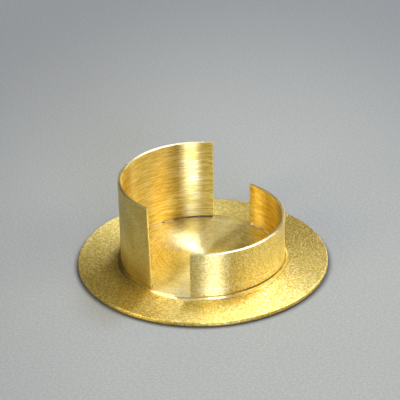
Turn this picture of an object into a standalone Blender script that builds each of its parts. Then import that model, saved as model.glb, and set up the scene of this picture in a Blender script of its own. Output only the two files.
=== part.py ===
# Brass candle holder: a drip plate, a socket base disc and two curved walls soldered on it.
# Metres, +Z up. The slot between the walls runs along Y, the tall wall is at -X, the low one at +X.
import bmesh
import bpy
from math import acos, pi, radians
from mathutils import Matrix, Vector

MM = 0.001

# Fit between pieces that touch in the real object
JOINT_GAP = 0.3 * MM

# Drip plate
PLATE_RADIUS = 50.0 * MM
PLATE_THICK = 2.0 * MM
PLATE_EDGE_ROUND = 0.35 * MM

# Socket base disc, whose ledge shows around the walls
BASE_LEDGE = 0.8 * MM
BASE_THICK = 0.8 * MM
BASE_EDGE_ROUND = 0.2 * MM

# Curved walls, two shells of one tube that takes the candle with room all round
CANDLE_DIAMETER = 60.0 * MM
CANDLE_CLEARANCE = 1.5 * MM
WALL_THICK = 1.3 * MM
TALL_WALL_HEIGHT = 34.0 * MM
LOW_WALL_HEIGHT = 17.8 * MM
WALL_EDGE_ROUND = 0.2 * MM

# Slot between the wall ends, and the slanting front end of the tall wall
SLOT_WIDTH = 16.4 * MM
FRONT_LEAN = 1.0 * MM

# Solder beads along the inner foot of the walls
BEAD_SIZE = 0.4 * MM

# Facets
PLATE_SEGMENTS = 160
BASE_SEGMENTS = 128
WALL_STEPS = 88
BEAD_STEPS = 72

# Sizes that follow from the ones above
BORE_RADIUS = CANDLE_DIAMETER / 2 + CANDLE_CLEARANCE
WALL_RADIUS = BORE_RADIUS + WALL_THICK
BASE_RADIUS = WALL_RADIUS + BASE_LEDGE
BASE_BOTTOM = PLATE_THICK + JOINT_GAP
BASE_TOP = BASE_BOTTOM + BASE_THICK
FOOT_LEVEL = BASE_TOP + JOINT_GAP
SLOT_HALF = SLOT_WIDTH / 2
BEAD_RADIUS = BORE_RADIUS - JOINT_GAP
BEAD_REACH = acos((SLOT_HALF + BEAD_SIZE) / BEAD_RADIUS)
AXIS = Vector((0.0, 0.0, 0.0))
UP = Vector((0.0, 0.0, 1.0))


def metal(name, colour, roughness):
    made = bpy.data.materials.new(name)
    made.use_nodes = True
    shader = made.node_tree.nodes["Principled BSDF"]
    shader.inputs["Base Color"].default_value = colour
    shader.inputs["Metallic"].default_value = 1.0
    shader.inputs["Roughness"].default_value = roughness
    return made


def place(name, bm, material):
    bmesh.ops.remove_doubles(bm, verts=bm.verts[:], dist=1e-6)
    bmesh.ops.recalc_face_normals(bm, faces=bm.faces[:])
    mesh = bpy.data.meshes.new(name)
    bm.to_mesh(mesh)
    bm.free()
    piece = bpy.data.objects.new(name, mesh)
    piece.data.materials.append(material)
    bpy.context.scene.collection.objects.link(piece)
    return piece


def soften(bm, edges, width):
    bmesh.ops.bevel(bm, geom=edges, offset=width, offset_type='OFFSET', segments=2,
                    profile=0.5, affect='EDGES', clamp_overlap=True, material=-1)


def disc(name, radius, bottom, thick, rounding, segments, material):
    bm = bmesh.new()
    middle = Matrix.Translation((0.0, 0.0, bottom + thick / 2))
    bmesh.ops.create_cone(bm, cap_ends=True, cap_tris=False, segments=segments, radius1=radius,
                          radius2=radius, depth=thick, matrix=middle)
    rims = [e for e in bm.edges if abs(e.verts[0].co.z - e.verts[1].co.z) < thick / 2]
    soften(bm, rims, rounding)
    return place(name, bm, material)


def trim_end(bm, end, point, normal):
    # Cuts one end of a shell with a plane; end is -1 for the front one and +1 for the back one
    faces = [f for f in bm.faces if f.calc_center_median().y * end > 0.0]
    edges = list({e for f in faces for e in f.edges})
    verts = list({v for f in faces for v in f.verts})
    cut = bmesh.ops.bisect_plane(bm, geom=verts + edges + faces, dist=1e-7, plane_co=point,
                                 plane_no=normal, clear_outer=True)
    rim = [e for e in cut["geom_cut"] if isinstance(e, bmesh.types.BMEdge)]
    bmesh.ops.contextual_create(bm, geom=rim)


def wall(name, side, height, front_lean, material):
    # side is -1 for the wall at -X and +1 for the wall at +X
    bm = bmesh.new()
    inner = bm.verts.new((0.0, -side * BORE_RADIUS, FOOT_LEVEL))
    outer = bm.verts.new((0.0, -side * WALL_RADIUS, FOOT_LEVEL))
    line = bm.edges.new((inner, outer))
    bmesh.ops.spin(bm, geom=[inner, outer, line], cent=AXIS, axis=UP, angle=pi, steps=WALL_STEPS)
    raised = bmesh.ops.extrude_face_region(bm, geom=bm.faces[:])
    tops = [v for v in raised["geom"] if isinstance(v, bmesh.types.BMVert)]
    bmesh.ops.translate(bm, verts=tops, vec=UP * height)
    bmesh.ops.recalc_face_normals(bm, faces=bm.faces[:])
    toward_slot = Vector((-side, 0.0, 0.0))
    end_foot = Vector((side * SLOT_HALF, 0.0, FOOT_LEVEL))
    leaning = toward_slot * height + UP * front_lean
    trim_end(bm, 1, end_foot, toward_slot)
    trim_end(bm, -1, end_foot, leaning.normalized())
    bmesh.ops.recalc_face_normals(bm, faces=bm.faces[:])
    sharp = [e for e in bm.edges if e.is_manifold and e.calc_face_angle() > radians(50)]
    soften(bm, sharp, WALL_EDGE_ROUND)
    return place(name, bm, material)


def bead(name, side, material):
    # A three-cornered bead with a slightly hollow face, swept round the wall's inner foot
    bm = bmesh.new()
    hollow = BEAD_SIZE * 0.4
    section = []
    for inset, lift in ((0.0, 0.0), (0.0, BEAD_SIZE), (hollow, hollow), (BEAD_SIZE, 0.0)):
        section.append(bm.verts.new((side * (BEAD_RADIUS - inset), 0.0, FOOT_LEVEL + lift)))
    start = bm.faces.new(section)
    bmesh.ops.rotate(bm, verts=section, cent=AXIS, matrix=Matrix.Rotation(-BEAD_REACH, 3, 'Z'))
    bmesh.ops.spin(bm, geom=[start], cent=AXIS, axis=UP, angle=2 * BEAD_REACH, steps=BEAD_STEPS)
    return place(name, bm, material)


for old in list(bpy.data.objects):
    bpy.data.objects.remove(old, do_unlink=True)

plate_brass = metal("plate_brass", (0.78, 0.58, 0.25, 1.0), 0.32)
base_brass = metal("base_brass", (0.78, 0.58, 0.25, 1.0), 0.32)
tall_brass = metal("tall_wall_brass", (0.78, 0.57, 0.24, 1.0), 0.30)
low_brass = metal("low_wall_brass", (0.78, 0.57, 0.24, 1.0), 0.30)
tall_silver = metal("tall_wall_silver", (0.80, 0.74, 0.58, 1.0), 0.38)
low_silver = metal("low_wall_silver", (0.80, 0.74, 0.58, 1.0), 0.38)

disc("drip_plate", PLATE_RADIUS, 0.0, PLATE_THICK, PLATE_EDGE_ROUND, PLATE_SEGMENTS, plate_brass)
disc("socket_base", BASE_RADIUS, BASE_BOTTOM, BASE_THICK, BASE_EDGE_ROUND, BASE_SEGMENTS, base_brass)
wall("tall_wall", -1, TALL_WALL_HEIGHT, FRONT_LEAN, tall_brass)
wall("low_wall", 1, LOW_WALL_HEIGHT, 0.0, low_brass)
bead("tall_wall_solder", -1, tall_silver)
bead("low_wall_solder", 1, low_silver)
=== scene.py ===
# Brass candle holder, dressed for the photograph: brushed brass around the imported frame.
import bmesh
import bpy
from math import cos, pi, radians, sin
from mathutils import Matrix, Vector, noise


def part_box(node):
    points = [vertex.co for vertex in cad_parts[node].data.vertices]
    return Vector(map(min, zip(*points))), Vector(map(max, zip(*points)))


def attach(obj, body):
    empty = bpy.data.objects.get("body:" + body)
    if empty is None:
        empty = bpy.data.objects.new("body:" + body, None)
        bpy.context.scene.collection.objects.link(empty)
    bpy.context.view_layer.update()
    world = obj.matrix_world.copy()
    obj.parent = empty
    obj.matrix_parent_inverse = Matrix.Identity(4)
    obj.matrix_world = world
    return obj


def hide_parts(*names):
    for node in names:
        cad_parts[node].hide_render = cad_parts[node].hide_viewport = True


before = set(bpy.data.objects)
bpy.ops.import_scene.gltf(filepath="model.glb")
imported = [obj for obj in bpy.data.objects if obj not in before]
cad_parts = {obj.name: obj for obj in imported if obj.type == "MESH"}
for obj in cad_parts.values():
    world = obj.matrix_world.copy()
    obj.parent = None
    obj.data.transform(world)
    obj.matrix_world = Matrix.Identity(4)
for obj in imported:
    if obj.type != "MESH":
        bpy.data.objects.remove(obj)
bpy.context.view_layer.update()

# The drip plate: a flat round of sheet brass, turned to a true circle, scoured with sand and
# brushed in rings on the wheel. Its rim is eased above and rolled under below.
MM = 0.001
centre = Vector((0.0, 0.0, 0.0))
up = Vector((0.0, 0.0, 1.0))
plate_low, plate_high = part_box("drip_plate")
plate_radius = plate_high.x
plate_top = plate_high.z
plate_edge_round = 0.35 * MM
plate_under_round = 0.8 * MM
round_steps = 6
turning_steps = 360
weld_distance = 1e-6
flat_face_weight = 100


def smooth_piece(name, bm, material, node):
    # Closes the mesh, turns it outwards, and lets it stand for its frame node
    bmesh.ops.remove_doubles(bm, verts=bm.verts[:], dist=weld_distance)
    bmesh.ops.recalc_face_normals(bm, faces=bm.faces[:])
    for face in bm.faces:
        face.smooth = True
    mesh = bpy.data.meshes.new(name)
    bm.to_mesh(mesh)
    bm.free()
    piece = bpy.data.objects.new(name, mesh)
    bpy.context.scene.collection.objects.link(piece)
    mesh.materials.append(material)
    even = piece.modifiers.new("even_shading", 'WEIGHTED_NORMAL')
    even.weight = flat_face_weight
    even.keep_sharp = True
    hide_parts(node)
    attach(piece, "root")


def arc(radius, height, size, start, end):
    # Points of a round in the turning profile, about a centre at that radius and height
    turns = [radians(start + (end - start) * step / round_steps) for step in range(round_steps + 1)]
    return [(radius + size * cos(turn), height + size * sin(turn)) for turn in turns]


def turned(profile):
    # Turns a profile that runs from the axis at the top, over the rim, to the axis below
    bm = bmesh.new()
    points = [bm.verts.new((radius, 0.0, height)) for radius, height in profile]
    lines = [bm.edges.new(pair) for pair in zip(points, points[1:])]
    bmesh.ops.spin(bm, geom=points + lines, cent=centre, axis=up, angle=2 * pi,
                   steps=turning_steps, use_merge=True)
    return bm


def new_group(name, numbers, outputs):
    # A shader group with a vector input, number inputs with their usual values, and outputs
    group = bpy.data.node_groups.new(name, 'ShaderNodeTree')
    group.interface.new_socket("Vector", in_out='INPUT', socket_type='NodeSocketVector')
    for label, usual in numbers:
        socket = group.interface.new_socket(label, in_out='INPUT', socket_type='NodeSocketFloat')
        socket.default_value = usual
    for label in outputs:
        group.interface.new_socket(label, in_out='OUTPUT', socket_type='NodeSocketFloat')
    return group, group.nodes.new('NodeGroupInput'), group.nodes.new('NodeGroupOutput')


def new_material(name, metallic):
    # A material with its tree, its shader and the place on the piece that its patterns read
    made = bpy.data.materials.new(name)
    made.use_nodes = True
    tree = made.node_tree
    shader = tree.nodes["Principled BSDF"]
    shader.inputs["Metallic"].default_value = metallic
    return made, tree, shader, tree.nodes.new('ShaderNodeTexCoord').outputs["Object"]


def feed(tree, socket, value):
    # Sets a socket to a plain value, or links it to another socket
    if isinstance(value, (tuple, int, float)):
        socket.default_value = value
    elif value is not None:
        tree.links.new(value, socket)


def add_math(tree, operation, first, second=None, third=None):
    node = tree.nodes.new('ShaderNodeMath')
    node.operation = operation
    for socket, value in zip(node.inputs, (first, second, third)):
        feed(tree, socket, value)
    return node.outputs[0]


def add_noise(tree, vector, scale, detail, roughness):
    node = tree.nodes.new('ShaderNodeTexNoise')
    node.noise_dimensions = '3D'
    settings = {"Vector": vector, "Scale": scale, "Detail": detail, "Roughness": roughness}
    for label, value in settings.items():
        feed(tree, node.inputs[label], value)
    return node.outputs["Fac"]


def add_ramp(tree, value, low, high, to_low, to_high):
    # Goes softly from one number to another while the value goes from low to high
    node = tree.nodes.new('ShaderNodeMapRange')
    node.interpolation_type = 'SMOOTHSTEP'
    ends = {"From Min": low, "From Max": high, "To Min": to_low, "To Max": to_high}
    for label, number in ends.items():
        node.inputs[label].default_value = number
    tree.links.new(value, node.inputs["Value"])
    return node.outputs["Result"]


def add_vector(tree, operation, first, second=None, scale=None):
    node = tree.nodes.new('ShaderNodeVectorMath')
    node.operation = operation
    for socket, value in ((node.inputs[0], first), (node.inputs[1], second), (node.inputs[3], scale)):
        feed(tree, socket, value)
    return node.outputs["Value"] if operation == 'LENGTH' else node.outputs["Vector"]


def add_parts(tree, place):
    node = tree.nodes.new('ShaderNodeSeparateXYZ')
    tree.links.new(place, node.inputs[0])
    return node.outputs


def add_flat(tree, place):
    # The place seen from above, with no height
    return add_vector(tree, 'MULTIPLY', place, (1.0, 1.0, 0.0))


def add_radius(tree, place):
    return add_vector(tree, 'LENGTH', add_flat(tree, place))


def add_group(tree, group, vector, numbers=None):
    node = tree.nodes.new('ShaderNodeGroup')
    node.node_tree = group
    tree.links.new(vector, node.inputs["Vector"])
    for label, number in (numbers or {}).items():
        feed(tree, node.inputs[label], number)
    return node.outputs


def add_mix(tree, kind, factor, first, second, blend='MIX'):
    node = tree.nodes.new('ShaderNodeMix')
    node.data_type = kind
    node.blend_type = blend
    factors = [i for i in node.inputs if i.enabled and i.name == "Factor"]
    ends = [i for i in node.inputs if i.enabled and i.name in ("A", "B")]
    for socket, value in ((factors[0], factor), (ends[0], first), (ends[1], second)):
        feed(tree, socket, value)
    return next(o for o in node.outputs if o.enabled)


def add_relief(tree, shader, height, depth):
    bump = tree.nodes.new('ShaderNodeBump')
    bump.inputs["Strength"].default_value = 1.0
    bump.inputs["Distance"].default_value = depth
    tree.links.new(height, bump.inputs["Height"])
    tree.links.new(bump.outputs["Normal"], shader.inputs["Normal"])


# Brushing that runs round the holder's axis: long in the turn, fine across it, and a little
# slanted, as a hand lets the pad wander
stroke_noise = (1.0, 1.0, 0.5)
brushing, brush_in, brush_out = new_group(
    "ring_brushing", [("Turns", 6.0), ("Fineness", 1500.0), ("Slant", 0.05)], ["Strokes", "Radius"])
brush_place = brush_in.outputs["Vector"]
brush_parts = add_parts(brushing, brush_place)
brush_flat = add_flat(brushing, brush_place)
brush_radius = add_vector(brushing, 'LENGTH', brush_flat)
brush_across = add_math(brushing, 'ADD', brush_radius, brush_parts["Z"])
brush_across = add_math(brushing, 'MULTIPLY_ADD', brush_parts["Y"], brush_in.outputs["Slant"], brush_across)
brush_lift = brushing.nodes.new('ShaderNodeCombineXYZ')
brushing.links.new(add_math(brushing, 'MULTIPLY', brush_across, brush_in.outputs["Fineness"]),
                   brush_lift.inputs["Z"])
brush_turn = add_vector(brushing, 'SCALE', add_vector(brushing, 'NORMALIZE', brush_flat),
                        scale=brush_in.outputs["Turns"])
brush_path = add_vector(brushing, 'ADD', brush_turn, brush_lift.outputs[0])
brushing.links.new(add_noise(brushing, brush_path, *stroke_noise), brush_out.inputs["Strokes"])
brushing.links.new(brush_radius, brush_out.inputs["Radius"])

# The whole finish: long and short brush strokes, sandy speckle, and cloudy handled patches
long_slant = 0.06
short_slant = -0.09
short_turns = 2.2
short_fineness = 1.3
even_share = 0.5
even_tone = 0.5
speckle_turn = (0.5, 0.8, 0.3)
speckle_detail = 2.0
speckle_roughness = 0.6
patch_noise = (90.0, 3.0, 0.5)
finishing, finish_in, finish_out = new_group(
    "brass_finish",
    [("Turns", 12.0), ("Fineness", 1500.0), ("Grain", 1100.0), ("Strokes", 1.0), ("Speckle", 1.0)],
    ["Finish", "Patches", "Radius"])
finish_place = finish_in.outputs["Vector"]
strokes_long = add_group(finishing, brushing, finish_place, {
    "Turns": finish_in.outputs["Turns"],
    "Fineness": finish_in.outputs["Fineness"],
    "Slant": long_slant})
strokes_short = add_group(finishing, brushing, finish_place, {
    "Turns": add_math(finishing, 'MULTIPLY', finish_in.outputs["Turns"], short_turns),
    "Fineness": add_math(finishing, 'MULTIPLY', finish_in.outputs["Fineness"], short_fineness),
    "Slant": short_slant})
strokes_both = add_mix(finishing, 'FLOAT', even_share, strokes_long["Strokes"], strokes_short["Strokes"])
speckle_place = finishing.nodes.new('ShaderNodeMapping')
speckle_place.inputs["Rotation"].default_value = speckle_turn
finishing.links.new(finish_place, speckle_place.inputs["Vector"])
speckle = add_noise(finishing, speckle_place.outputs["Vector"], finish_in.outputs["Grain"],
                    speckle_detail, speckle_roughness)
finish_sum = even_tone
for layer, weight in ((strokes_both, "Strokes"), (speckle, "Speckle")):
    finish_sum = add_math(finishing, 'MULTIPLY_ADD', add_math(finishing, 'SUBTRACT', layer, even_tone),
                          finish_in.outputs[weight], finish_sum)
finishing.links.new(finish_sum, finish_out.inputs["Finish"])
finishing.links.new(add_noise(finishing, finish_place, *patch_noise), finish_out.inputs["Patches"])
finishing.links.new(strokes_long["Radius"], finish_out.inputs["Radius"])

# Single grains that the sand left bright or dull
grain_noise = (1700.0, 0.0, 0.5)
bright_grain_ramp = (0.56, 0.72, 0.0, 1.0)
dull_grain_ramp = (0.30, 0.48, 1.0, 0.0)
sanding, sand_in, sand_out = new_group("sand_grains", [], ["Bright", "Dull"])
grains = add_noise(sanding, sand_in.outputs["Vector"], *grain_noise)
sanding.links.new(add_ramp(sanding, grains, *bright_grain_ramp), sand_out.inputs["Bright"])
sanding.links.new(add_ramp(sanding, grains, *dull_grain_ramp), sand_out.inputs["Dull"])

brass_pit = (0.62, 0.43, 0.06, 1.0)
brass_deep = (0.78, 0.55, 0.09, 1.0)
brass_light = (1.0, 0.81, 0.27, 1.0)
brass_pale = (1.0, 0.93, 0.60, 1.0)
glint_pale = (1.0, 0.94, 0.48, 1.0)
sand_brown = (0.50, 0.36, 0.05, 1.0)
highlight_pale = (1.0, 0.90, 0.50, 1.0)
rim_finish = {"Turns": 60.0, "Fineness": 900.0, "Grain": 2000.0, "Strokes": 0.6, "Speckle": 1.1}
rim_highlight_share = 0.5
patch_share = 0.35
light_ramp = (0.57, 0.79, 0.0, 1.0)
pale_ramp = (0.60, 0.76, 0.0, 0.8)
pit_ramp = (0.24, 0.40, 0.6, 0.0)
gloss_low = 0.3
gloss_high = 0.7
gloss_change = 0.06
quarter_turn = 0.25


def sanded(tree, place, colour, amount):
    grain = add_group(tree, sanding, place)
    colour = add_mix(tree, 'RGBA', add_math(tree, 'MULTIPLY', grain["Bright"], amount), colour, glint_pale)
    return add_mix(tree, 'RGBA', add_math(tree, 'MULTIPLY', grain["Dull"], amount), colour, sand_brown)


def brushed_brass(name, marks, roughness, anisotropy, depth, sand, outside,
                  inside=None, inside_ramp=None, rim_ramp=None):
    # Brass with its finish in the tone, the gloss and the relief. A wall has another finish
    # inside and on its rim than outside, with a painted highlight along the rim, and marks adds the
    # stains and the painted light and shade of one piece to its colour.
    made, tree, shader, place = new_material(name, 1.0)
    shader.inputs["Anisotropic"].default_value = anisotropy
    shader.inputs["Anisotropic Rotation"].default_value = quarter_turn
    around = add_vector(tree, 'CROSS_PRODUCT', tuple(up), place)
    tree.links.new(add_vector(tree, 'NORMALIZE', around), shader.inputs["Tangent"])
    outer = add_group(tree, finishing, place, outside)
    finish = outer["Finish"]
    if inside:
        hollow = add_ramp(tree, outer["Radius"], *inside_ramp)
        inner = add_group(tree, finishing, place, inside)
        finish = add_mix(tree, 'FLOAT', hollow, finish, inner["Finish"])
        on_rim = add_ramp(tree, add_parts(tree, place)["Z"], *rim_ramp)
        rim = add_group(tree, finishing, place, rim_finish)
        finish = add_mix(tree, 'FLOAT', on_rim, finish, rim["Finish"])
    tone = add_math(tree, 'MULTIPLY_ADD', outer["Patches"], patch_share, finish)
    colour = add_mix(tree, 'RGBA', add_ramp(tree, tone, *light_ramp), brass_deep, brass_light)
    colour = add_mix(tree, 'RGBA', add_ramp(tree, finish, *pale_ramp), colour, brass_pale)
    colour = add_mix(tree, 'RGBA', add_ramp(tree, finish, *pit_ramp), colour, brass_pit)
    if inside:
        # Painted highlight along the top of the wall's rim
        colour = add_mix(tree, 'RGBA', add_math(tree, 'MULTIPLY', on_rim, rim_highlight_share), colour, highlight_pale)
    colour = marks(tree, place, colour)
    scoured = sanded(tree, place, colour, sand)
    colour = add_mix(tree, 'RGBA', hollow, scoured, colour) if inside else scoured
    tree.links.new(colour, shader.inputs["Base Color"])
    gloss = add_ramp(tree, finish, gloss_low, gloss_high, roughness + gloss_change, roughness - gloss_change)
    tree.links.new(gloss, shader.inputs["Roughness"])
    add_relief(tree, shader, finish, depth)
    return made


# The side outside the tall wall, at its left, where the tall wall's shadow falls: the mask of a painted
# shade
left_ramp = (-20.0 * MM, -8.0 * MM, 1.0, 0.0)
front_ramp = (-12.0 * MM, 4.0 * MM, 1.0, 0.0)
tall_shadow_side, side_in, side_out = new_group("tall_shadow_side", [], ["Mask"])
side_parts = add_parts(tall_shadow_side, side_in.outputs["Vector"])
side_mask = add_math(tall_shadow_side, 'MULTIPLY', add_ramp(tall_shadow_side, side_parts["X"], *left_ramp),
                     add_ramp(tall_shadow_side, side_parts["Y"], *front_ramp))
tall_shadow_side.links.new(side_mask, side_out.inputs["Mask"])

base_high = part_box("socket_base")[1]
base_radius = base_high.x
plate_tone = (0.96, 0.87, 0.50, 1.0)
painted_shade_brown = (0.36, 0.25, 0.06, 1.0)
shade_noise = (500.0, 2.0, 0.6)
shade_waver = 4.0 * MM
shade_ramp = (base_radius + 1.5 * MM, base_radius + 9.0 * MM, 0.75, 0.0)


def plate_marks(tree, place, colour):
    # A deeper tone than the walls have, and painted shade in the corner around the base disc, on the side
    # where the tall wall's shadow falls
    colour = add_mix(tree, 'RGBA', 1.0, colour, plate_tone, 'MULTIPLY')
    waver = add_math(tree, 'MULTIPLY_ADD', add_noise(tree, place, *shade_noise), shade_waver,
                     add_radius(tree, place))
    # Painted shade of the tall wall, laid on the plate around the base disc at its left
    corner = add_math(tree, 'MULTIPLY', add_ramp(tree, waver, *shade_ramp),
                      add_group(tree, tall_shadow_side, place)["Mask"])
    return add_mix(tree, 'RGBA', corner, colour, painted_shade_brown)


plate_finish = {"Turns": 18.0, "Fineness": 1500.0, "Grain": 1850.0, "Strokes": 1.3, "Speckle": 1.3}
plate_brass = brushed_brass("plate_brass", plate_marks, roughness=0.35, anisotropy=0.9, depth=0.135 * MM,
                            sand=0.55, outside=plate_finish)
plate_profile = [(0.0, plate_top)]
plate_profile += arc(plate_radius - plate_edge_round, plate_top - plate_edge_round,
                     plate_edge_round, 90, 0)
plate_profile += arc(plate_radius - plate_under_round, plate_low.z + plate_under_round,
                     plate_under_round, 0, -90)
plate_profile += [(0.0, plate_low.z)]
smooth_piece("plate", turned(plate_profile), plate_brass, "drip_plate")

# The base disc: a thinner round of the same sheet, brushed in rings like the plate and
# soldered flat on its middle. The solder fills the corner around its edge.
tall_low, tall_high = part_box("tall_wall")
low_low, low_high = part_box("low_wall")
base_top = base_high.z
base_edge_round = 0.35 * MM
base_fillet = 0.6 * MM
wall_radius = -tall_low.x
wall_thick = 1.3 * MM
bore_radius = wall_radius - wall_thick
slot_half = low_low.x
slot_band = -28.0 * MM
joint_and_shade_brown = (0.10, 0.06, 0.015, 1.0)
highlight_band_pale = (1.0, 0.90, 0.50, 1.0)
rubbed_pale = (1.0, 0.88, 0.46, 1.0)

# The stretch of the low wall's foot, on its right, where a dark brown line is drawn in the corner: partly a
# dark joint, partly painted crevice shade
crevice_start_ramp = (-27.0 * MM, -17.0 * MM, 0.0, 1.0)
crevice_end_ramp = (-8.0 * MM, 2.0 * MM, 1.0, 0.15)
crevice_side_ramp = (slot_half, slot_half + 2.0 * MM, 0.0, 1.0)
low_crevice, crevice_in, crevice_out = new_group("low_crevice", [], ["Mask"])
crevice_parts = add_parts(low_crevice, crevice_in.outputs["Vector"])
crevice_mask = add_math(low_crevice, 'MULTIPLY',
                        add_ramp(low_crevice, crevice_parts["Y"], *crevice_start_ramp),
                        add_ramp(low_crevice, crevice_parts["Y"], *crevice_end_ramp))
crevice_mask = add_math(low_crevice, 'MULTIPLY', crevice_mask,
                        add_ramp(low_crevice, crevice_parts["X"], *crevice_side_ramp))
low_crevice.links.new(crevice_mask, crevice_out.inputs["Mask"])

rubbed_ramp = (bore_radius - 2.0 * MM, bore_radius, 0.3, 0.0)
slot_ramp = (slot_half - 0.5 * MM, slot_half + 0.3 * MM, 1.0, 0.0)
highlight_band_ramp = (slot_band - 1.0 * MM, slot_band + 1.5 * MM, 0.6, 0.0)
ledge_ramp = (wall_radius - 0.2 * MM, wall_radius + 0.2 * MM, 0.0, 1.0)
low_side_ramp = (slot_half + 3.0 * MM, slot_half + 9.0 * MM, 0.0, 1.0)
edge_highlight_ramp = (base_radius - 0.5 * MM, base_radius - 0.2 * MM, 0.0, 0.4)
edge_highlight_front_ramp = (-26.0 * MM, -14.0 * MM, 1.0, 0.0)
ledge_shade_ramp = (wall_radius - 0.4 * MM, wall_radius, 0.0, 0.75)
crevice_ramp = (wall_radius + 0.05 * MM, wall_radius + 0.35 * MM, 0.95, 0.0)


def base_marks(tree, place, colour):
    # A socket rubbed pale with a painted highlight as a pale band in the front slot, and a ledge
    # that is toned like the plate, with a painted highlight along its front edge, painted shade at the
    # tall wall, and a brown line that is partly a dark joint, partly painted crevice shade
    parts = add_parts(tree, place)
    radius = add_radius(tree, place)
    colour = add_mix(tree, 'RGBA', add_ramp(tree, radius, *rubbed_ramp), colour, rubbed_pale)
    in_slot = add_ramp(tree, add_math(tree, 'ABSOLUTE', parts["X"]), *slot_ramp)
    # Painted highlight: a pale band across the slot where the floor's edge catches the light
    painted_band_highlight = add_math(tree, 'MULTIPLY', add_ramp(tree, parts["Y"], *highlight_band_ramp), in_slot)
    colour = add_mix(tree, 'RGBA', painted_band_highlight, colour, highlight_band_pale)
    low_side = add_ramp(tree, parts["X"], *low_side_ramp)
    ledge = add_math(tree, 'MULTIPLY', add_ramp(tree, radius, *ledge_ramp), low_side)
    colour = add_mix(tree, 'RGBA', ledge, colour, plate_tone, 'MULTIPLY')
    # Painted highlight along the base disc's front edge, on the low wall's side
    painted_edge_highlight = add_math(tree, 'MULTIPLY', add_ramp(tree, radius, *edge_highlight_ramp),
                    add_ramp(tree, parts["Y"], *edge_highlight_front_ramp))
    colour = add_mix(tree, 'RGBA', add_math(tree, 'MULTIPLY', painted_edge_highlight, low_side), colour, highlight_pale)
    # Painted shade on the ledge, on the side where the tall wall's shadow falls
    ledge_shade = add_math(tree, 'MULTIPLY', add_ramp(tree, radius, *ledge_shade_ramp),
                       add_group(tree, tall_shadow_side, place)["Mask"])
    colour = add_mix(tree, 'RGBA', ledge_shade, colour, painted_shade_brown)
    # Dark line at the low wall's outer foot: partly a dark joint, partly painted crevice shade
    line = add_math(tree, 'MULTIPLY', add_ramp(tree, radius, *crevice_ramp),
                    add_group(tree, low_crevice, place)["Mask"])
    return add_mix(tree, 'RGBA', line, colour, joint_and_shade_brown)


base_finish = {"Turns": 4.0, "Fineness": 1600.0, "Grain": 1900.0, "Strokes": 1.7, "Speckle": 0.5}
base_brass = brushed_brass("base_brass", base_marks, roughness=0.34, anisotropy=1.0, depth=0.15 * MM,
                           sand=0.3, outside=base_finish)
base_profile = [(0.0, base_top)]
base_profile += arc(base_radius - base_edge_round, base_top - base_edge_round, base_edge_round, 90, 0)
base_profile += arc(base_radius + base_fillet, plate_top + base_fillet, base_fillet, 180, 270)
base_profile += [(0.0, plate_top)]
smooth_piece("base", turned(base_profile), base_brass, "socket_base")

# The tall wall: half of a brass tube, slit lengthwise and brushed along its curve. It stands
# on the base disc with its front end cut a little out of square.
wall_edge_round = 0.45 * MM
wall_edge_steps = 5
wall_steps = 240
sharp_angle = radians(50.0)
saw_distance = 1e-7
front_lean = 1.0 * MM
inside_ramp = (bore_radius, wall_radius, 1.0, 0.0)


def trim_end(bm, end, point, normal):
    # Saws off one end of a shell; end is -1 in front and +1 at the back
    faces = [f for f in bm.faces if f.calc_center_median().y * end > 0.0]
    edges = list({e for f in faces for e in f.edges})
    verts = list({v for f in faces for v in f.verts})
    cut = bmesh.ops.bisect_plane(bm, geom=verts + edges + faces, dist=saw_distance, plane_co=point,
                                 plane_no=normal, clear_outer=True)
    rim = [e for e in cut["geom_cut"] if isinstance(e, bmesh.types.BMEdge)]
    bmesh.ops.contextual_create(bm, geom=rim)


def curved_wall(side, foot, top, lean):
    # side is -1 for the wall at -X and +1 for the wall at +X
    bm = bmesh.new()
    inner = bm.verts.new((0.0, -side * bore_radius, foot))
    outer = bm.verts.new((0.0, -side * wall_radius, foot))
    line = bm.edges.new((inner, outer))
    bmesh.ops.spin(bm, geom=[inner, outer, line], cent=centre, axis=up, angle=pi, steps=wall_steps)
    raised = bmesh.ops.extrude_face_region(bm, geom=bm.faces[:])
    tops = [v for v in raised["geom"] if isinstance(v, bmesh.types.BMVert)]
    bmesh.ops.translate(bm, verts=tops, vec=up * (top - foot))
    bmesh.ops.recalc_face_normals(bm, faces=bm.faces[:])
    toward_slot = Vector((-side, 0.0, 0.0))
    end_foot = Vector((side * slot_half, 0.0, foot))
    leaning = toward_slot * (top - foot) + up * lean
    trim_end(bm, 1, end_foot, toward_slot)
    trim_end(bm, -1, end_foot, leaning.normalized())
    bmesh.ops.recalc_face_normals(bm, faces=bm.faces[:])
    sharp = [e for e in bm.edges if e.is_manifold and e.calc_face_angle() > sharp_angle]
    bmesh.ops.bevel(bm, geom=sharp, offset=wall_edge_round, offset_type='OFFSET', segments=wall_edge_steps,
                    profile=0.5, affect='EDGES', clamp_overlap=True, material=-1)
    return bm


def rim_ramp(top):
    # From just below a wall's rim to its top
    return (top - 0.3 * MM, top - 0.05 * MM, 0.0, 1.0)


# A thin brown line where a wall meets the solder: partly a dark joint, partly painted crevice shade
foot_ramp = (base_top + 0.3 * MM, base_top + 0.9 * MM, 0.9, 0.0)
foot_line, foot_in, foot_out = new_group("foot_line", [], ["Mask"])
foot_height = add_parts(foot_line, foot_in.outputs["Vector"])["Z"]
foot_line.links.new(add_ramp(foot_line, foot_height, *foot_ramp), foot_out.inputs["Mask"])

stain_depth = (bore_radius + 0.3 * MM, wall_radius - 0.3 * MM)
stain_back_ramp = (-26.0 * MM, -18.0 * MM, 0.0, 1.0)


def foot_stain(tree, place, colour, stretch):
    # The brown line, along one stretch of a wall
    # Partly a dark joint, partly painted crevice shade at the wall's foot
    stain = add_math(tree, 'MULTIPLY', add_group(tree, foot_line, place)["Mask"], stretch)
    return add_mix(tree, 'RGBA', stain, colour, joint_and_shade_brown)


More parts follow.
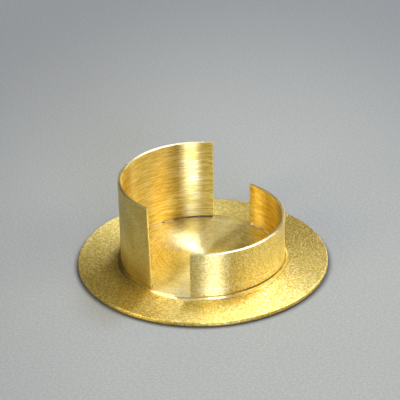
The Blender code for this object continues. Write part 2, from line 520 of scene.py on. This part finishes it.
def tall_marks(tree, place, colour):
    # The line runs inside, from the back end to where the bead stays bright
    within = add_ramp(tree, add_radius(tree, place), *stain_depth, 1.0, 0.0)
    at_back = add_ramp(tree, add_parts(tree, place)["X"], *stain_back_ramp)
    return foot_stain(tree, place, colour, add_math(tree, 'MULTIPLY', within, at_back))


tall_outside = {"Turns": 12.0, "Fineness": 1300.0, "Grain": 2000.0, "Strokes": 0.2, "Speckle": 0.5}
tall_inside = {"Turns": 3.5, "Fineness": 2300.0, "Grain": 2000.0, "Strokes": 1.5, "Speckle": 0.3}
tall_brass = brushed_brass("tall_wall_brass", tall_marks, roughness=0.34, anisotropy=1.0, depth=0.10 * MM,
                           sand=0.1, outside=tall_outside, inside=tall_inside,
                           inside_ramp=inside_ramp, rim_ramp=rim_ramp(tall_high.z))
tall = curved_wall(-1, base_top, tall_high.z, front_lean)
smooth_piece("tall_shell", tall, tall_brass, "tall_wall")

# The low wall: the other half of the tube, sawn off at about half the height and soldered
# opposite, so that a slot stays open between the two at the front and at the back.
tide_pale = (1.0, 0.90, 0.62, 1.0)
tide_noise = (120.0, 1.0, 0.5)
tide_waver = 1.2 * MM
tide_height = base_top + 3.0 * MM + tide_waver / 2
tide_ramp = (0.05 * MM, 0.35 * MM, 0.45, 0.0)


def low_marks(tree, place, colour):
    # A faint pale tide mark that the pickling bath left, and the brown line outside
    waver = add_math(tree, 'MULTIPLY_ADD', add_noise(tree, place, *tide_noise), tide_waver,
                     add_parts(tree, place)["Z"])
    off_tide = add_math(tree, 'ABSOLUTE', add_math(tree, 'SUBTRACT', waver, tide_height))
    colour = add_mix(tree, 'RGBA', add_ramp(tree, off_tide, *tide_ramp), colour, tide_pale)
    without = add_ramp(tree, add_radius(tree, place), *stain_depth, 0.0, 1.0)
    stretch = add_math(tree, 'MULTIPLY', without, add_group(tree, low_crevice, place)["Mask"])
    return foot_stain(tree, place, colour, stretch)


low_outside = {"Turns": 16.0, "Fineness": 1500.0, "Grain": 2300.0, "Strokes": 0.5, "Speckle": 1.0}
low_inside = {"Turns": 4.0, "Fineness": 1400.0, "Grain": 1900.0, "Strokes": 0.9, "Speckle": 0.4}
low_brass = brushed_brass("low_wall_brass", low_marks, roughness=0.37, anisotropy=1.0, depth=0.08 * MM,
                          sand=0.45, outside=low_outside, inside=low_inside,
                          inside_ramp=inside_ramp, rim_ramp=rim_ramp(low_high.z))
low = curved_wall(1, base_top, low_high.z, 0.0)
smooth_piece("low_shell", low, low_brass, "low_wall")

# The solder: a pale bead drawn along the inner foot of each wall, where the flame ran the
# silver solder in. It swells and thins, and gathers in a drop at each end.
bead_size = 0.5 * MM
bead_hollow = 0.35 * bead_size
bead_reach = radians(74.0)
bead_steps = 220
bead_swell = 0.35
swell_scale = 260.0
drop_swell = 0.8
drop_length = radians(2.5)
solder_bright = (0.80, 0.70, 0.52, 1.0)
solder_dull = (0.20, 0.14, 0.07, 1.0)
solder_depth = 0.1 * MM
tall_flux_and_shade = 0.12
low_flux_and_shade = 0.0
flux_and_shade_back = (18.0 * MM, 24.0 * MM)
burnt_noise = (260.0, 3.0, 0.6)
burnt_ramp = (0.40, 0.62, 0.0, 1.0)
burnt_gloss_ramp = (0.35, 0.65, 0.30, 0.52)
pit_noise = (1800.0, 2.0, 0.6)


def solder_silver(name, flux_and_shade_more):
    # Silver solder, bright where it flowed and brown where the flux burnt on; the darkening toward the back
    # is partly burnt flux, partly painted shade
    made, tree, shader, place = new_material(name, 1.0)
    back_flux_and_shade = add_ramp(tree, add_parts(tree, place)["Y"], *flux_and_shade_back, -flux_and_shade_more, flux_and_shade_more)
    burnt_and_shaded = add_math(tree, 'ADD', add_noise(tree, place, *burnt_noise), back_flux_and_shade)
    colour = add_mix(tree, 'RGBA', add_ramp(tree, burnt_and_shaded, *burnt_ramp), solder_bright, solder_dull)
    tree.links.new(colour, shader.inputs["Base Color"])
    tree.links.new(add_ramp(tree, burnt_and_shaded, *burnt_gloss_ramp), shader.inputs["Roughness"])
    add_relief(tree, shader, add_noise(tree, place, *pit_noise), solder_depth)
    return made


def foot_bead(side):
    # Sweeps a hollow-faced corner bead, then lets its toe and its height vary
    bm = bmesh.new()
    section = []
    for inset, lift in ((0.0, 0.0), (0.0, bead_size), (bead_hollow, bead_hollow), (bead_size, 0.0)):
        section.append(bm.verts.new((side * (bore_radius - inset), 0.0, base_top + lift)))
    start = bm.faces.new(section)
    bmesh.ops.rotate(bm, verts=section, cent=centre, matrix=Matrix.Rotation(-bead_reach, 3, 'Z'))
    bmesh.ops.spin(bm, geom=[start], cent=centre, axis=up, angle=2 * bead_reach, steps=bead_steps)
    for vert in bm.verts:
        flat = Vector((vert.co.x, vert.co.y, 0.0))
        turn = flat.angle(Vector((side, 0.0, 0.0)))
        swell = 1.0 + bead_swell * noise.noise(flat * swell_scale)
        swell += drop_swell * max(0.0, 1.0 - (bead_reach - turn) / drop_length)
        corner = flat.normalized() * bore_radius + up * base_top
        vert.co = corner + (vert.co - corner) * swell
    return bm


tall_silver = solder_silver("tall_wall_silver", tall_flux_and_shade)
low_silver = solder_silver("low_wall_silver", low_flux_and_shade)
smooth_piece("tall_bead", foot_bead(-1), tall_silver, "tall_wall_solder")
smooth_piece("low_bead", foot_bead(1), low_silver, "low_wall_solder")

# The table: a sheet of pale grey paper, several metres across, that the holder stands on.
# Its fibres show as flecks, with a painted shadow under the plate's rim and painted shade away from a pool
# of light.
floor_side = 6.0
camera_bearing = -66.5
paper_grey = (0.322, 0.312, 0.219, 1.0)
paper_shade = (0.62, 0.625, 0.66, 1.0)
paper_fleck = (0.388, 0.377, 0.266, 1.0)
paper_roughness = 0.9
paper_depth = 0.12 * MM
fibre_noise = (1000.0, 2.0, 0.6)
fleck_ramp = (0.38, 0.68, 0.0, 0.75)
pool_place = (26.0 * MM, -10.0 * MM, 0.0)
pool_turn = (0.0, 0.0, radians(camera_bearing + 90.0))
pool_size = (190.0 * MM, 360.0 * MM, 1.0)
pool_ramp = (0.25, 1.0, 0.0, 1.0)
painted_shadow_grey = (0.03, 0.03, 0.03, 1.0)
rim_shadow_ramp = (plate_radius - 0.5 * MM, plate_radius + 2.6 * MM, 0.85, 0.0)
floor_mesh = bmesh.new()
bmesh.ops.create_grid(floor_mesh, x_segments=1, y_segments=1, size=floor_side / 2)
floor_data = bpy.data.meshes.new("floor")
floor_mesh.to_mesh(floor_data)
floor_mesh.free()
floor = bpy.data.objects.new("floor", floor_data)
bpy.context.scene.collection.objects.link(floor)
paper, paper_tree, paper_shader, paper_place = new_material("grey_paper", 0.0)
paper_shader.inputs["Roughness"].default_value = paper_roughness
pool = paper_tree.nodes.new('ShaderNodeMapping')
pool.vector_type = 'TEXTURE'
pool.inputs["Location"].default_value = pool_place
pool.inputs["Rotation"].default_value = pool_turn
pool.inputs["Scale"].default_value = pool_size
paper_tree.links.new(paper_place, pool.inputs["Vector"])
# Painted shade: the paper darkens away from the centre of a pool of light
light_pool_edge = add_ramp(paper_tree, add_vector(paper_tree, 'LENGTH', pool.outputs["Vector"]), *pool_ramp)
fibres = add_noise(paper_tree, paper_place, *fibre_noise)
flecks = add_ramp(paper_tree, fibres, *fleck_ramp)
painted_rim_shadow = add_ramp(paper_tree, add_vector(paper_tree, 'LENGTH', paper_place), *rim_shadow_ramp)
paper_tone = add_mix(paper_tree, 'RGBA', flecks, paper_grey, paper_fleck)
paper_tone = add_mix(paper_tree, 'RGBA', light_pool_edge, paper_tone, paper_shade, 'MULTIPLY')
# Painted contact shadow in a ring just outside the plate's rim
paper_tone = add_mix(paper_tree, 'RGBA', painted_rim_shadow, paper_tone, painted_shadow_grey)
paper_tree.links.new(paper_tone, paper_shader.inputs["Base Color"])
add_relief(paper_tree, paper_shader, fibres, paper_depth)
floor_data.materials.append(paper)

# The camera: a long lens, about two thirds of a metre off and half above the holder, which
# is turned so that the slot runs a little to the right.
photo_side = 400
focal_pixels = 1670.0
sensor_side = 36.0
camera_place = Vector((0.2317, -0.5333, 0.3345))
camera_aim = Vector((-0.0074, 0.0152, 0.0187))
camera_roll = radians(-1.16)
camera_data = bpy.data.cameras.new("camera")
camera_data.sensor_width = sensor_side
camera_data.lens = focal_pixels * sensor_side / photo_side
camera = bpy.data.objects.new("camera", camera_data)
bpy.context.scene.collection.objects.link(camera)
level = (camera_aim - camera_place).to_track_quat('-Z', 'Y').to_matrix()
camera.matrix_world = Matrix.LocRotScale(camera_place, level @ Matrix.Rotation(camera_roll, 3, 'Z'), None)
bpy.context.scene.camera = camera

# The light: a cool key box beside the camera, a strong one high at the back and a warm one
# at the left, weaker boxes all round that fill the brass, and a dim grey room.
lamp_distance = 2.0
key_white = (0.80, 0.95, 1.85)
cold_white = (0.80, 0.95, 1.65)
cool_white = (0.87, 0.96, 1.32)
plain_white = (1.0, 0.96, 1.0)
warm_white = (1.04, 0.94, 0.72)
room_grey = (0.42, 0.43, 0.43, 1.0)
room_strength = 0.15


def soft_box(name, right_of_camera, above_table, width, length, watts, tint):
    # A rectangular lamp that faces the holder, placed by two angles in degrees, its sides in metres
    turn = radians(camera_bearing + right_of_camera)
    rise = radians(above_table)
    place = lamp_distance * Vector((cos(turn) * cos(rise), sin(turn) * cos(rise), sin(rise)))
    data = bpy.data.lights.new(name, 'AREA')
    data.shape = 'RECTANGLE'
    data.size = width
    data.size_y = length
    data.energy = watts
    data.color = tint
    lamp = bpy.data.objects.new(name, data)
    bpy.context.scene.collection.objects.link(lamp)
    lamp.matrix_world = Matrix.LocRotScale(place, (-place).to_track_quat('-Z', 'Y'), None)


soft_box("key_box", 14.5, 12.0, 0.64, 0.90, 24.5, key_white)
soft_box("front_box", -10.0, 38.0, 0.40, 0.50, 3.2, cool_white)
soft_box("right_box", 66.0, 36.0, 1.30, 0.75, 12.5, plain_white)
soft_box("low_right_box", 95.0, 13.0, 1.50, 0.50, 8.0, plain_white)
soft_box("back_right_box", 126.0, 58.0, 0.45, 0.80, 3.0, cool_white)
soft_box("high_back_box", 138.0, 70.0, 0.45, 0.60, 3.5, cool_white)
soft_box("back_box", 150.0, 58.0, 0.42, 0.80, 21.5, cold_white)
soft_box("far_box", 184.0, 47.0, 0.70, 0.65, 1.5, warm_white)
soft_box("slot_box", 157.0, 14.0, 0.60, 0.40, 3.4, warm_white)
soft_box("low_back_box", 131.0, 8.0, 2.20, 0.50, 7.4, warm_white)
soft_box("left_box", -56.0, 20.0, 0.75, 1.40, 23.0, warm_white)
soft_box("high_left_box", -85.0, 70.0, 0.40, 0.60, 6.5, cool_white)
soft_box("back_left_box", -120.0, 42.0, 0.80, 0.60, 2.3, warm_white)
room = bpy.data.worlds.new("room")
room.use_nodes = True
room.node_tree.nodes["Background"].inputs["Color"].default_value = room_grey
room.node_tree.nodes["Background"].inputs["Strength"].default_value = room_strength
bpy.context.scene.world = room
bpy.context.scene.view_settings.view_transform = 'Standard'
